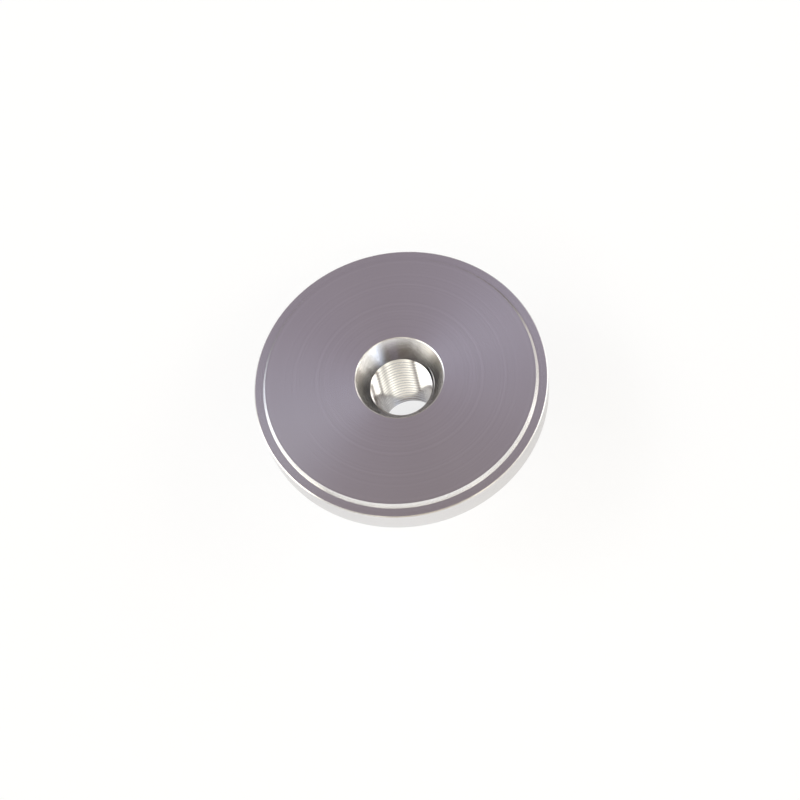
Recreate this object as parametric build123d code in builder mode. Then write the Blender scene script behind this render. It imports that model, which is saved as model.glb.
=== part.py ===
"""A turned flange with a threaded bore: a thin disc with a raised face on a plain hub.

One piece of bar, turned and bored on one axis. Sizes are in millimetres. The hub's end
lies on the XY plane, the axis is +Z, and the raised face looks up.
"""

import os
from math import radians, tan

from build123d import *

# The disc
disc_diameter = 62.0
rim_thickness = 6.0  # height of the disc's outer wall, from its back to the ledge
ledge_width = 1.9  # flat ring between the outer wall and the raised face
step_height = 1.0  # from the ledge up to the raised face
step_angle = 30.0  # slope of the step, measured from the axis
rim_break = 0.2  # chamfer on both edges of the outer wall

# The thread, whose crests are the wall of the bore
thread_diameter = 14.0
thread_pitch = 1.25

# The countersink in the raised face
countersink_width = 3.0  # from the bore's wall out to the mouth, across the radius
countersink_angle = 60.0  # included
mouth_break = 0.15  # chamfer round the mouth

# The hub
hub_length = 19.0  # from the disc's back to the hub's end
hub_wall = 5.0  # outside the thread's major diameter
hub_root = 1.5  # fillet where the hub meets the disc
hub_break = 0.8  # chamfer on the hub's outer end edge
lead_in = 0.2  # how far the chamfer at the hub's end of the bore opens past the thread

# Sizes that follow from those above
disc_radius = disc_diameter / 2
hub_radius = thread_diameter / 2 + hub_wall
bore_radius = (thread_diameter - 5 / 8 * 3**0.5 * thread_pitch) / 2  # ISO metric minor radius
lead_in_depth = thread_diameter / 2 + lead_in - bore_radius
mouth_radius = bore_radius + countersink_width
step_foot_radius = disc_radius - ledge_width
face_radius = step_foot_radius - step_height * tan(radians(step_angle))
ledge_level = hub_length + rim_thickness
face_level = ledge_level + step_height
countersink_floor = face_level - countersink_width / tan(radians(countersink_angle / 2))


with BuildPart() as threaded_flange:
    # Half of the section, with the radius along X and the height along Y
    with BuildSketch(Plane.XZ) as section:
        with BuildLine():
            Polyline(
                (bore_radius, 0),
                (hub_radius, 0),
                (hub_radius, hub_length),
                (disc_radius, hub_length),
                (disc_radius, ledge_level),
                (step_foot_radius, ledge_level),
                (face_radius, face_level),
                (mouth_radius, face_level),
                (bore_radius, countersink_floor),
                close=True,
            )
        make_face()

        # Both edges of the outer wall
        rim_corners = section.vertices().group_by(Axis.X)[-1]
        chamfer(rim_corners, length=rim_break)

        # The mouth of the countersink
        mouth_corner = section.vertices().group_by(Axis.Y)[-1].sort_by(Axis.X)[0]
        chamfer(mouth_corner, length=mouth_break)

        # The hub's root, its outer end edge and the thread's lead-in
        disc_back = section.vertices().filter_by(lambda corner: abs(corner.Y - hub_length) < 1e-6)
        fillet(disc_back.sort_by(Axis.X)[0], radius=hub_root)
        hub_corner = section.vertices().group_by(Axis.Y)[0].sort_by(Axis.X)[-1]
        chamfer(hub_corner, length=hub_break)
        bore_corner = section.vertices().group_by(Axis.Y)[0].sort_by(Axis.X)[0]
        chamfer(bore_corner, length=lead_in_depth)
    revolve(axis=Axis.Z)

threaded_flange.part.label = "threaded_flange"

os.makedirs("parts", exist_ok=True)
export_step(threaded_flange.part, "parts/threaded_flange.step")
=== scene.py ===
"""Dresses the turned flange: its thread, its turned finish, and a plain white studio.

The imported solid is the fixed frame. Every length here is in metres, the axis is +Z and
the hub's end stands on the floor.
"""

from math import cos, pi, radians, sin, sqrt, tan

import bmesh
import bpy
from mathutils import Matrix, Vector


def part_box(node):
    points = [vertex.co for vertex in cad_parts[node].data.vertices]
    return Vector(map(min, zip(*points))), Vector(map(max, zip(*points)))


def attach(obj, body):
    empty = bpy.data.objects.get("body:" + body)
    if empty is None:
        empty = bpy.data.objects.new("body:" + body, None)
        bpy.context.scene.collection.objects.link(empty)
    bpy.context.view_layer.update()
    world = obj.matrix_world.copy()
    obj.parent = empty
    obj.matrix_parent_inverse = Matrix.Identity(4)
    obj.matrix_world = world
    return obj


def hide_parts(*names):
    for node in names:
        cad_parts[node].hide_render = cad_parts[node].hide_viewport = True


bl_info = {
    "name": "Turned flange",
    "version": (1, 0, 0),
    "blender": (4, 5, 0),
    "location": "View3D > Sidebar > Turned flange",
    "description": "Adds a turned and threaded flange in bright metal, and a white studio for it",
    "category": "Add Mesh",
}

NODE = "threaded_flange"
MM = 0.001

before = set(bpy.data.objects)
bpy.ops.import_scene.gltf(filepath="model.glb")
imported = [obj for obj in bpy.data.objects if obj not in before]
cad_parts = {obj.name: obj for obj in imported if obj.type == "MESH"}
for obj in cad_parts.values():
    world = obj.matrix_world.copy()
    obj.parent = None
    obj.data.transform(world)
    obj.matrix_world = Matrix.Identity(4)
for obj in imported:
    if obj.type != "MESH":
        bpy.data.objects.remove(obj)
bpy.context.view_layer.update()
NODE_LOW, NODE_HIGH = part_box(NODE)
DISC_RADIUS = (NODE_HIGH.x - NODE_LOW.x) / 2
FACE_LEVEL = NODE_HIGH.z


# --- Sizes and colours that a user would change ---------------------------------------


def length(name, description, default):
    """A length property, given in metres."""
    return bpy.props.FloatProperty(
        name=name, description=description, default=default, min=0.0, unit="LENGTH", precision=5
    )


def angle(name, description, degrees):
    """An angle property, given in degrees."""
    return bpy.props.FloatProperty(
        name=name, description=description, default=radians(degrees), subtype="ANGLE"
    )


def share(name, description, default):
    """A property from 0 to 1."""
    return bpy.props.FloatProperty(
        name=name, description=description, default=default, min=0.0, max=1.0, subtype="FACTOR"
    )


def colour(name, description, default):
    """A colour property."""
    return bpy.props.FloatVectorProperty(
        name=name, description=description, default=default, min=0.0, max=1.0, subtype="COLOR"
    )


class FlangeSizes(bpy.types.PropertyGroup):
    """The turned section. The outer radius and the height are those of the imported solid."""

    disc_radius: length("Disc radius", "Outer radius of the disc", DISC_RADIUS)
    face_level: length("Height", "From the hub's end to the raised face", FACE_LEVEL)
    rim_thickness: length("Rim thickness", "Height of the disc's outer wall", 6.0 * MM)
    ledge_width: length("Ledge", "Flat ring between the wall and the raised face", 1.9 * MM)
    step_height: length("Step", "From the ledge up to the raised face", 1.0 * MM)
    step_angle: angle("Step angle", "Slope of the step, from the axis", 30)
    rim_break: length("Rim edges", "Chamfer on both edges of the outer wall", 0.2 * MM)
    thread_radius: length("Thread radius", "Major radius of the thread", 7.0 * MM)
    thread_pitch: length("Pitch", "Rise of the thread in one turn", 1.25 * MM)
    thread_start: angle("Thread start", "Turns the thread about the axis", 90)
    countersink_width: length("Countersink", "From the bore out to the mouth", 3.0 * MM)
    countersink_angle: angle("Countersink angle", "Included angle of the countersink", 60)
    mouth_break: length("Mouth edge", "Chamfer round the mouth of the countersink", 0.15 * MM)
    hub_wall: length("Hub wall", "Outside the thread's major radius", 5.0 * MM)
    hub_root: length("Hub root", "Fillet where the hub meets the disc", 1.5 * MM)
    hub_break: length("Hub edge", "Chamfer on the hub's outer end edge", 0.8 * MM)
    lead_in: length("Lead-in", "How far the bore's end chamfer opens past the thread", 0.2 * MM)


class FlangeFinish(bpy.types.PropertyGroup):
    """The turned metal."""

    metal: colour("Metal", "Colour of the bright metal", (0.79, 0.785, 0.80))
    roughness: share("Roughness", "Roughness of the turned surface", 0.22)
    anisotropy: share("Grain", "How much rougher the metal is across its tool marks", 0.90)
    countersink_roughness: share("Countersink roughness", "Roughness of the countersink", 0.20)
    countersink_anisotropy: share(
        "Countersink grain", "How much rougher the countersink is across its tool marks", 0.85
    )
    thread_roughness: share("Thread roughness", "Roughness of the thread", 0.12)
    thread_anisotropy: share(
        "Thread grain", "How much rougher the thread is across its tool marks", 0.3
    )
    mark_width: length("Tool marks", "Usual width of the visible tool marks", 0.6 * MM)
    mark_depth: length("Mark depth", "Depth of the tool marks", 0.003 * MM)


class StudioSettings(bpy.types.PropertyGroup):
    """Floor and camera."""

    floor_colour: colour("Floor", "Colour of the floor", (0.97, 0.98, 1.0))
    camera_distance: length("Camera distance", "From the aim point to the camera", 354.74 * MM)
    camera_elevation: angle("Elevation", "Height of the camera above the horizon", 63.86)
    camera_roll: angle("Roll", "Turn of the camera about its own line of sight", -14.66)
    camera_lens: bpy.props.FloatProperty(
        name="Lens", description="Focal length", default=76.5, subtype="DISTANCE_CAMERA"
    )


# --- The turned body ------------------------------------------------------------------

FULL_TURN = 2 * pi
AXIS = (0, 0, 1)
CENTRE = (0, 0, 0)
BODY_STEPS = 288  # flats round the body
FILLET_STEPS = 8  # flats along the hub's root
SHARP_ANGLE = radians(20)  # edges under this are shaded smooth
MERGE_DISTANCE = 0.001 * MM

# The ISO metric thread, as shares of its pitch.
THREAD_DEPTH = 5 / 16 * sqrt(3)
CREST_FLAT = 1 / 4
ROOT_FLAT = 1 / 8
FLANK_ANGLE = radians(30)

THREAD_STEPS = 120  # flats round the thread
PILOT_GAP = 0.5 * MM  # how far the body's first hole is under the thread's crests
TAP_OVERRUN = 1.0 * MM  # how far the tap runs past the hub's end
TURNS_BELOW = 2  # whole turns of the tap below its cut end
SPARE_TURNS = 4  # turns of the tap past both of its cut ends


def minor_radius(sizes):
    """Radius at the crests of the internal thread."""
    return sizes.thread_radius - THREAD_DEPTH * sizes.thread_pitch


def point(radius, level):
    """A point of the section, which lies in the XZ plane."""
    return Vector((radius, 0, level))


def chain(bm, points):
    """Vertices joined by edges, in order."""
    verts = [bm.verts.new(p) for p in points]
    for first, second in zip(verts, verts[1:]):
        bm.edges.new((first, second))
    return verts


def cut_corner(bm, corner, size, steps=1):
    """A chamfer, or a fillet with more steps, at a corner of the section."""
    bmesh.ops.bevel(
        bm,
        geom=[corner],
        affect="VERTICES",
        offset=size,
        offset_type="OFFSET",
        segments=steps,
        profile=0.5,
        material=-1,
    )


def revolve_section(sizes):
    """The whole flange with a plain pilot hole, revolved from half its section."""
    bore = minor_radius(sizes)
    pilot = bore - PILOT_GAP
    cone_slope = tan(sizes.countersink_angle / 2)
    hub = sizes.thread_radius + sizes.hub_wall
    ledge = sizes.face_level - sizes.step_height
    disc_back = ledge - sizes.rim_thickness
    step_foot = sizes.disc_radius - sizes.ledge_width
    face_edge = step_foot - sizes.step_height * tan(sizes.step_angle)
    mouth = bore + sizes.countersink_width
    lead_in = sizes.thread_radius + sizes.lead_in

    bm = bmesh.new()
    section = chain(
        bm,
        [
            point(pilot, sizes.face_level - (mouth - pilot) / cone_slope),
            point(pilot, lead_in - pilot),
            point(lead_in, 0),
            point(hub, 0),
            point(hub, disc_back),
            point(sizes.disc_radius, disc_back),
            point(sizes.disc_radius, ledge),
            point(step_foot, ledge),
            point(face_edge, sizes.face_level),
            point(mouth, sizes.face_level),
        ],
    )
    bm.edges.new((section[-1], section[0]))
    _, _, _, hub_edge, hub_root, rim_back, rim_front, _, _, mouth_edge = section
    cut_corner(bm, hub_edge, sizes.hub_break)
    cut_corner(bm, hub_root, sizes.hub_root, FILLET_STEPS)
    cut_corner(bm, rim_back, sizes.rim_break)
    cut_corner(bm, rim_front, sizes.rim_break)
    cut_corner(bm, mouth_edge, sizes.mouth_break)
    bmesh.ops.spin(
        bm,
        geom=bm.verts[:] + bm.edges[:],
        axis=AXIS,
        cent=CENTRE,
        angle=FULL_TURN,
        steps=BODY_STEPS,
        use_merge=True,
    )
    bmesh.ops.remove_doubles(bm, verts=bm.verts, dist=MERGE_DISTANCE)
    bmesh.ops.recalc_face_normals(bm, faces=bm.faces)
    return bm


def thread_tap(sizes):
    """A threaded rod that fills the bore: one turn of the thread, repeated up its length."""
    pitch = sizes.thread_pitch
    crest = minor_radius(sizes)
    root = sizes.thread_radius
    flank = (root - crest) * tan(FLANK_ANGLE)
    crest_flat = CREST_FLAT * pitch
    root_flat = ROOT_FLAT * pitch
    top = sizes.face_level - (sizes.countersink_width - (root - crest)) / 2  # in the countersink
    turns = int((top + TAP_OVERRUN) / pitch) + SPARE_TURNS
    start = -TAP_OVERRUN - TURNS_BELOW * pitch

    bm = bmesh.new()
    chain(
        bm,
        [
            point(crest, start),
            point(crest, start + crest_flat),
            point(root, start + crest_flat + flank),
            point(root, start + crest_flat + flank + root_flat),
            point(crest, start + pitch),
        ],
    )
    bmesh.ops.spin(
        bm,
        geom=bm.verts[:] + bm.edges[:],
        axis=AXIS,
        cent=CENTRE,
        dvec=(0, 0, pitch / THREAD_STEPS),
        angle=FULL_TURN,
        steps=THREAD_STEPS,
    )
    first_turn = bm.verts[:] + bm.edges[:] + bm.faces[:]
    for turn in range(1, turns):
        copy = bmesh.ops.duplicate(bm, geom=first_turn)["geom"]
        verts = [item for item in copy if isinstance(item, bmesh.types.BMVert)]
        bmesh.ops.translate(bm, verts=verts, vec=(0, 0, turn * pitch))
    bmesh.ops.remove_doubles(bm, verts=bm.verts, dist=MERGE_DISTANCE)
    for level, upwards in ((top, 1), (-TAP_OVERRUN, -1)):
        cut = bmesh.ops.bisect_plane(
            bm,
            geom=bm.verts[:] + bm.edges[:] + bm.faces[:],
            plane_co=(0, 0, level),
            plane_no=(0, 0, upwards),
            clear_outer=True,
        )
        rim = [item for item in cut["geom_cut"] if isinstance(item, bmesh.types.BMEdge)]
        bmesh.ops.contextual_create(bm, geom=rim)
    bmesh.ops.recalc_face_normals(bm, faces=bm.faces)
    start_turn = Matrix.Rotation(sizes.thread_start, 3, "Z")
    bmesh.ops.rotate(bm, verts=bm.verts, cent=CENTRE, matrix=start_turn)
    return bm


def mesh_object(name, bm):
    """A new object in the scene from a bmesh, which is freed."""
    mesh = bpy.data.meshes.new(name)
    bm.to_mesh(mesh)
    bm.free()
    thing = bpy.data.objects.new(name, mesh)
    bpy.context.scene.collection.objects.link(thing)
    return thing


def cut_thread(body, tap):
    """Takes the tap out of the body and leaves the cut as the body's own mesh."""
    cut = body.modifiers.new("thread", "BOOLEAN")
    cut.operation = "DIFFERENCE"
    cut.solver = "EXACT"
    cut.object = tap
    bpy.context.view_layer.update()
    evaluated = body.evaluated_get(bpy.context.evaluated_depsgraph_get())
    threaded = bpy.data.meshes.new_from_object(evaluated)
    body.modifiers.remove(cut)
    plain = body.data
    body.data = threaded
    bpy.data.meshes.remove(plain)
    threaded.name = body.name
    tap_mesh = tap.data
    bpy.data.objects.remove(tap)
    bpy.data.meshes.remove(tap_mesh)


# --- The light round the object -------------------------------------------------------

# Soft windows in the surroundings: azimuth and elevation of the middle, half the width, half
# the height, how soft the upright edges and the level edges are, all in degrees, and the light.
WINDOWS = {
    "right_window": (-14, 34, 14, 8, 6, 5, (2.0, 1.95, 1.75)),
    "right_panel": (0, 41, 14, 4, 5, 4, (2.4, 2.4, 2.2)),
    "right_low_window": (16, 21, 28, 10, 8, 6, (1.6, 1.55, 1.45)),
    "right_dim_window": (-40, 18, 26, 8, 6, 6, (0.55, 0.52, 0.45)),
    "left_window": (148, 43, 16, 7, 26, 8, (3.0, 3.4, 4.0)),
    "left_middle_window": (146, 28, 14, 5, 8, 5, (1.7, 1.7, 1.7)),
    "left_low_window": (176, 15, 26, 9, 6, 6, (2.3, 2.2, 1.8)),
    "left_high_window": (160, 55, 14, 11, 17, 4, (0.70, 0.85, 1.10)),
    "left_panel": (-177, 43, 30, 9, 4, 4, (2.3, 2.3, 2.1)),
    "left_near_panel": (-135, 38, 16, 6, 4, 4, (2.6, 2.55, 2.3)),
    "front_panel": (-92, 52, 43, 4, 10, 4, (1.9, 1.87, 1.65)),
    "front_right_panel": (-46, 42, 24, 9, 4, 4, (1.9, 1.87, 1.65)),
    "front_low_panel": (-90, 33, 38, 6, 4, 4, (1.1, 0.95, 0.7)),
    "back_panel": (87, 60, 20, 6, 10, 8, (0.21, 0.20, 0.38)),
    "back_low_panel": (90, 18, 50, 8, 10, 5, (0.30, 0.31, 0.34)),
    "horizon": (-85, 4, 118, 5, 4, 4, (2.2, 2.25, 2.2)),
}
ROOM_COLOUR = (0.225, 0.187, 0.152)  # the light between the windows

# The floor is paper with a light of its own mixed in, so that it stays white round the object.
GLOW_STRENGTH = 1.05
CAMERA_GLOW = 0.76  # share of that light in what the camera sees
MIRROR_GLOW = 0.45  # its share in what the metal mirrors

FLOOR_RADIUS = 3.0
FLOOR_SIDES = 128
FLOOR_DROP = 0.01 * MM  # keeps the floor clear of the hub's end
SENSOR_WIDTH = 36.0
AIM = Vector((-1.08 * MM, -4.67 * MM, 25.0 * MM))


# --- Materials ------------------------------------------------------------------------

MARK_SHADE = 0.045  # how much darker or lighter than the metal a tool mark looks
MARK_DETAIL = 2.0
QUARTER_TURN = 0.25  # the grain's turn, in turns, from round the axis to across it
NO_DEPTH = 0.0


def new_material(name):
    """An empty node material, with its tree."""
    material = bpy.data.materials.new(name)
    material.use_nodes = True
    material.node_tree.nodes.clear()
    return material, material.node_tree


def node(tree, kind, **settings):
    """A node of this kind with these settings."""
    made = tree.nodes.new(kind)
    for name, value in settings.items():
        setattr(made, name, value)
    return made


def maths(tree, operation, *values):
    """The result of a maths node, whose values are numbers or other nodes' results."""
    made = node(tree, "ShaderNodeMath", operation=operation)
    for socket, value in zip(made.inputs, values):
        if isinstance(value, bpy.types.NodeSocket):
            tree.links.new(value, socket)
        else:
            socket.default_value = value
    return made.outputs[0]


def soft_band(tree, direction, middle, half, soft):
    """1 up to half a width from the middle and 0 further off, with a soft edge."""
    shifted = maths(tree, "SUBTRACT", direction, radians(middle))
    wrapped = maths(tree, "WRAP", shifted, pi, -pi)
    edge = node(tree, "ShaderNodeMapRange", interpolation_type="SMOOTHSTEP")
    edge.inputs["From Min"].default_value = radians(half + soft)
    edge.inputs["From Max"].default_value = radians(half - soft)
    tree.links.new(maths(tree, "ABSOLUTE", wrapped), edge.inputs["Value"])
    return edge.outputs["Result"]


def add_window(tree, azimuth, elevation, window, others):
    """The light of this window and the others together."""
    middle, level, half_width, half_height, side_soft, level_soft, light = window
    across = soft_band(tree, azimuth, middle, half_width, side_soft)
    upright = soft_band(tree, elevation, level, half_height, level_soft)
    added = node(tree, "ShaderNodeVectorMath", operation="MULTIPLY_ADD")
    added.inputs[1].default_value = light
    tree.links.new(maths(tree, "MULTIPLY", across, upright), added.inputs[0])
    tree.links.new(others, added.inputs[2])
    return added.outputs[0]


def machined_metal(name, finish, roughness, anisotropy, mark_depth):
    """Bright metal with circular tool marks, which a highlight crosses as a fan."""
    material, tree = new_material(name)
    link = tree.links.new
    output = node(tree, "ShaderNodeOutputMaterial")
    shader = node(tree, "ShaderNodeBsdfPrincipled")
    shader.inputs["Metallic"].default_value = 1.0
    shader.inputs["Roughness"].default_value = roughness
    shader.inputs["Anisotropic"].default_value = anisotropy
    shader.inputs["Anisotropic Rotation"].default_value = QUARTER_TURN
    tangent = node(tree, "ShaderNodeTangent", direction_type="RADIAL", axis="Z")
    marks = tool_marks(tree, finish)
    shade = node(tree, "ShaderNodeMix", data_type="RGBA")
    shade.inputs["A"].default_value = (*((1 - MARK_SHADE) * part for part in finish.metal), 1)
    shade.inputs["B"].default_value = (*((1 + MARK_SHADE) * part for part in finish.metal), 1)
    link(marks, shade.inputs["Factor"])
    link(shade.outputs["Result"], shader.inputs["Base Color"])
    if mark_depth > NO_DEPTH:
        groove = node(tree, "ShaderNodeBump")
        groove.inputs["Distance"].default_value = mark_depth
        link(marks, groove.inputs["Height"])
        link(groove.outputs["Normal"], shader.inputs["Normal"])
    link(tangent.outputs["Tangent"], shader.inputs["Tangent"])
    link(shader.outputs["BSDF"], output.inputs["Surface"])
    return material


def tool_marks(tree, finish):
    """Uneven rings about the axis, 0 to 1, told apart by their radius and level together."""
    link = tree.links.new
    place = node(tree, "ShaderNodeTexCoord")
    split = node(tree, "ShaderNodeSeparateXYZ")
    flat = node(tree, "ShaderNodeCombineXYZ")
    radius = node(tree, "ShaderNodeVectorMath", operation="LENGTH")
    rings = node(tree, "ShaderNodeTexNoise", noise_dimensions="1D")
    rings.inputs["Scale"].default_value = 1 / finish.mark_width
    rings.inputs["Detail"].default_value = MARK_DETAIL
    link(place.outputs["Object"], split.inputs[0])
    link(split.outputs["X"], flat.inputs["X"])
    link(split.outputs["Y"], flat.inputs["Y"])
    link(flat.outputs[0], radius.inputs[0])
    along = maths(tree, "ADD", radius.outputs["Value"], split.outputs["Z"])
    link(along, rings.inputs["W"])
    return rings.outputs["Fac"]


def floor_paper(paper_colour):
    """White paper that stays near white to the camera and still takes a soft shadow."""
    material, tree = new_material("floor_paper")
    link = tree.links.new
    output = node(tree, "ShaderNodeOutputMaterial")
    paper = node(tree, "ShaderNodeBsdfDiffuse")
    paper.inputs["Color"].default_value = (*paper_colour, 1)
    glow = node(tree, "ShaderNodeEmission")
    glow.inputs["Strength"].default_value = GLOW_STRENGTH
    path = node(tree, "ShaderNodeLightPath")
    seen = maths(tree, "MULTIPLY", path.outputs["Is Camera Ray"], CAMERA_GLOW)
    mirrored = maths(tree, "MULTIPLY", path.outputs["Is Glossy Ray"], MIRROR_GLOW)
    mix = node(tree, "ShaderNodeMixShader")
    link(maths(tree, "MAXIMUM", seen, mirrored), mix.inputs["Fac"])
    link(paper.outputs[0], mix.inputs[1])
    link(glow.outputs[0], mix.inputs[2])
    link(mix.outputs[0], output.inputs["Surface"])
    return material


# --- Operators ------------------------------------------------------------------------


class FLANGE_OT_add_body(bpy.types.Operator):
    """Adds the turned flange with its thread and finish"""

    bl_idname = "flange.add_body"
    bl_label = "Add turned flange"

    def execute(self, context):
        sizes = context.scene.flange_sizes
        body = mesh_object("turned_flange", revolve_section(sizes))
        tap = mesh_object("tap", thread_tap(sizes))
        cut_thread(body, tap)
        if len(body.data.polygons) < BODY_STEPS:
            raise RuntimeError("The thread could not be cut")
        body.data.shade_smooth()
        body.data.set_sharp_from_angle(angle=SHARP_ANGLE)
        finish = context.scene.flange_finish
        body.data.materials.clear()
        for name, roughness, anisotropy, mark_depth in (
            ("turned_face", finish.roughness, finish.anisotropy, finish.mark_depth),
            (
                "turned_countersink",
                finish.countersink_roughness,
                finish.countersink_anisotropy,
                NO_DEPTH,
            ),
            (
                "cut_thread_metal",
                finish.thread_roughness,
                finish.thread_anisotropy,
                NO_DEPTH,
            ),
        ):
            metal = machined_metal(name, finish, roughness, anisotropy, mark_depth)
            body.data.materials.append(metal)
        mouth = minor_radius(sizes) + sizes.countersink_width
        for face in body.data.polygons:
            # The three materials go inwards: face and outside, countersink, thread.
            radius = face.center.xy.length
            face.material_index = int(radius < mouth) + int(radius < sizes.thread_radius)
        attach(body, "root")
        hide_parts(NODE)
        return {"FINISHED"}


class FLANGE_OT_add_studio(bpy.types.Operator):
    """Adds the white floor, the light round the object and the camera"""

    bl_idname = "flange.add_studio"
    bl_label = "Add white studio"

    def execute(self, context):
        studio = context.scene.flange_studio
        self.add_floor(studio)
        self.add_world(context.scene)
        self.add_camera(context.scene, studio)
        return {"FINISHED"}

    @staticmethod
    def add_floor(studio):
        """A wide round of white paper under the hub's end."""
        bm = bmesh.new()
        bmesh.ops.create_circle(bm, cap_ends=True, segments=FLOOR_SIDES, radius=FLOOR_RADIUS)
        bmesh.ops.translate(bm, verts=bm.verts, vec=(0, 0, -FLOOR_DROP))
        floor = mesh_object("floor", bm)
        floor.data.materials.append(floor_paper(studio.floor_colour))

    @staticmethod
    def add_world(scene):
        """Soft windows all round for the metal, and plain white for the camera."""
        world = bpy.data.worlds.new("white_studio")
        scene.world = world
        world.use_nodes = True
        tree = world.node_tree
        tree.nodes.clear()
        link = tree.links.new
        place = node(tree, "ShaderNodeTexCoord")
        split = node(tree, "ShaderNodeSeparateXYZ")
        link(place.outputs["Generated"], split.inputs[0])
        azimuth = maths(tree, "ARCTAN2", split.outputs["Y"], split.outputs["X"])
        elevation = maths(tree, "ARCSINE", split.outputs["Z"])
        room = node(tree, "ShaderNodeCombineXYZ")
        for socket, part in zip(room.inputs, ROOM_COLOUR):
            socket.default_value = part
        light = room.outputs[0]
        for window in WINDOWS.values():
            light = add_window(tree, azimuth, elevation, window, light)
        output = node(tree, "ShaderNodeOutputWorld")
        surroundings = node(tree, "ShaderNodeBackground")
        backdrop = node(tree, "ShaderNodeBackground")
        backdrop.inputs["Color"].default_value = (1, 1, 1, 1)
        mix = node(tree, "ShaderNodeMixShader")
        path = node(tree, "ShaderNodeLightPath")
        link(light, surroundings.inputs["Color"])
        link(path.outputs["Is Camera Ray"], mix.inputs["Fac"])
        link(surroundings.outputs[0], mix.inputs[1])
        link(backdrop.outputs[0], mix.inputs[2])
        link(mix.outputs[0], output.inputs["Surface"])

    @staticmethod
    def add_camera(scene, studio):
        """A camera that looks down at the aim point from -Y."""
        data = bpy.data.cameras.new("camera")
        data.sensor_width = SENSOR_WIDTH
        data.lens = studio.camera_lens
        camera = bpy.data.objects.new("camera", data)
        scene.collection.objects.link(camera)
        away = Vector((0, -cos(studio.camera_elevation), sin(studio.camera_elevation)))
        turn = away.to_track_quat("Z", "Y").to_matrix().to_4x4()
        place = Matrix.Translation(AIM + away * studio.camera_distance)
        camera.matrix_world = place @ turn @ Matrix.Rotation(studio.camera_roll, 4, "Z")
        scene.camera = camera
        scene.view_settings.view_transform = "Standard"


class FLANGE_PT_panel(bpy.types.Panel):
    """Lists the steps in the 3D view's sidebar"""

    bl_label = "Turned flange"
    bl_idname = "FLANGE_PT_panel"
    bl_space_type = "VIEW_3D"
    bl_region_type = "UI"
    bl_category = "Turned flange"

    def draw(self, context):
        for operator in OPERATORS:
            self.layout.operator(operator.bl_idname)
        for group in (
            context.scene.flange_sizes,
            context.scene.flange_finish,
            context.scene.flange_studio,
        ):
            column = self.layout.column()
            for name in group.__annotations__:
                column.prop(group, name)


GROUPS = {
    "flange_sizes": FlangeSizes,
    "flange_finish": FlangeFinish,
    "flange_studio": StudioSettings,
}
OPERATORS = (FLANGE_OT_add_body, FLANGE_OT_add_studio)


def register():
    """Adds the settings, the operators and the panel to Blender."""
    for name, group in GROUPS.items():
        bpy.utils.register_class(group)
        setattr(bpy.types.Scene, name, bpy.props.PointerProperty(type=group))
    for made in (*OPERATORS, FLANGE_PT_panel):
        bpy.utils.register_class(made)


def unregister():
    """Takes them out again."""
    for made in (FLANGE_PT_panel, *reversed(OPERATORS)):
        bpy.utils.unregister_class(made)
    for name, group in GROUPS.items():
        delattr(bpy.types.Scene, name)
        bpy.utils.unregister_class(group)


def main():
    """Builds the flange and its studio."""
    register()
    bpy.ops.flange.add_body()
    bpy.ops.flange.add_studio()


if __name__ == "__main__":
    main()
